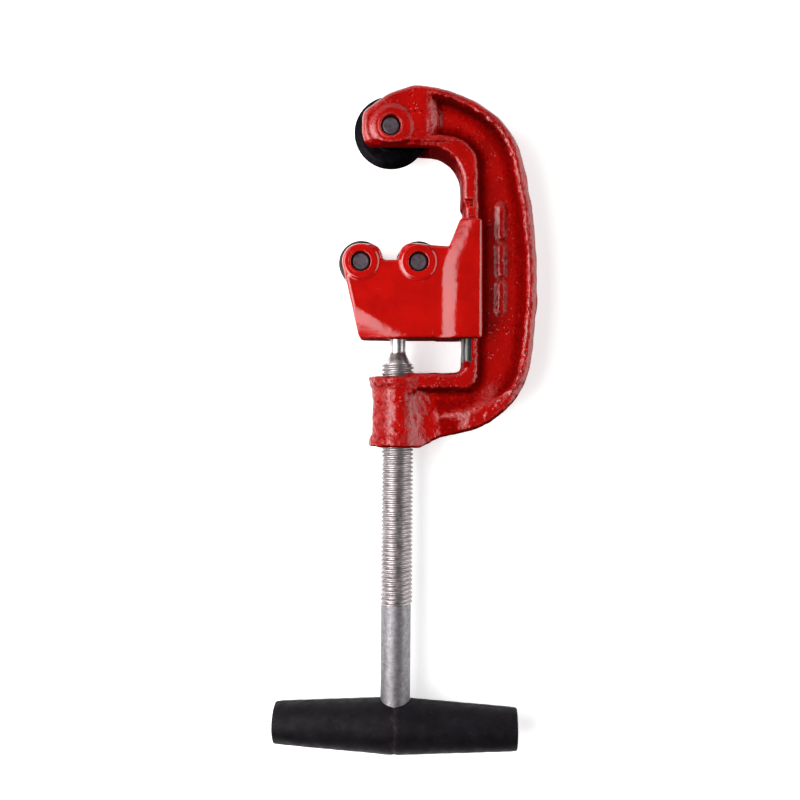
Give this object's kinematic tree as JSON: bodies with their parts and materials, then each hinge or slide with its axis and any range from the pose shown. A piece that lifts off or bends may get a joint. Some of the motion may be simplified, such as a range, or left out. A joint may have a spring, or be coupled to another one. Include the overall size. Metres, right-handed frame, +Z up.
{
  "type": "pipe cutter",
  "caption": "Heavy-duty screw-feed pipe cutter: a hooked cast frame with a cutting wheel, a sliding block with rollers, and a feed screw with a T-handle.",
  "frame": {"origin": "on the surface that the tool lies on, under the middle of its box", "axes": "+X across the tool towards the frame's back, +Y along the screw from the handle to the hook, +Z up from the surface"},
  "size_m": [0.1528, 0.3912, 0.0372],
  "materials": {
    "red_enamel": "glossy red enamel over a rough casting",
    "wheel_steel": "blackened hardened steel",
    "roller_steel": "blackened steel, brownish",
    "pin_steel": "dull grey steel",
    "ring_wire": "dark spring wire",
    "screw_steel": "plated steel, mottled on the plain shank",
    "black_paint": "matt black paint with dusty scuffs"
  },
  "bodies": {
    "frame": {"frame": "red_enamel", "wheel_pin": "pin_steel", "wheel_pin_ring": "ring_wire"},
    "wheel": {"cutter_wheel": "wheel_steel"},
    "slide": {"slide_block": "red_enamel", "neck_pin": "pin_steel", "roller_pin_left": "pin_steel", "roller_pin_right": "pin_steel", "roller_pin_ring_left": "ring_wire", "roller_pin_ring_right": "ring_wire"},
    "left_roller": {"roller_left": "roller_steel"},
    "right_roller": {"roller_right": "roller_steel"},
    "screw": {"feed_screw": "screw_steel", "t_handle": "black_paint", "handle_pin": "pin_steel"}
  },
  "joints": [
    {"name": "wheel_spin", "type": "hinge", "parent": "frame", "child": "wheel", "pos_m": [-0.00894, 0.1696, 0.0186], "axis": [0, 0, 1], "continuous": true},
    {"name": "jaw_travel", "type": "slide", "parent": "frame", "child": "slide", "axis": [0, 1, 0], "range_m": [-0.015, 0.044]},
    {"name": "left_roller_spin", "type": "hinge", "parent": "slide", "child": "left_roller", "pos_m": [-0.02544, 0.0916, 0.0186], "axis": [0, 0, 1], "continuous": true},
    {"name": "right_roller_spin", "type": "hinge", "parent": "slide", "child": "right_roller", "pos_m": [0.00756, 0.0916, 0.0186], "axis": [0, 0, 1], "continuous": true},
    {"name": "screw_turn", "type": "hinge", "parent": "slide", "child": "screw", "pos_m": [-0.00394, 0.0126, 0.0186], "axis": [0, 1, 0], "range_deg": [-2070, 6210]}
  ],
  "couplings": [
    {"joint": "jaw_travel", "follows": "screw_turn", "m_per_rad": 0.00040425}
  ]
}
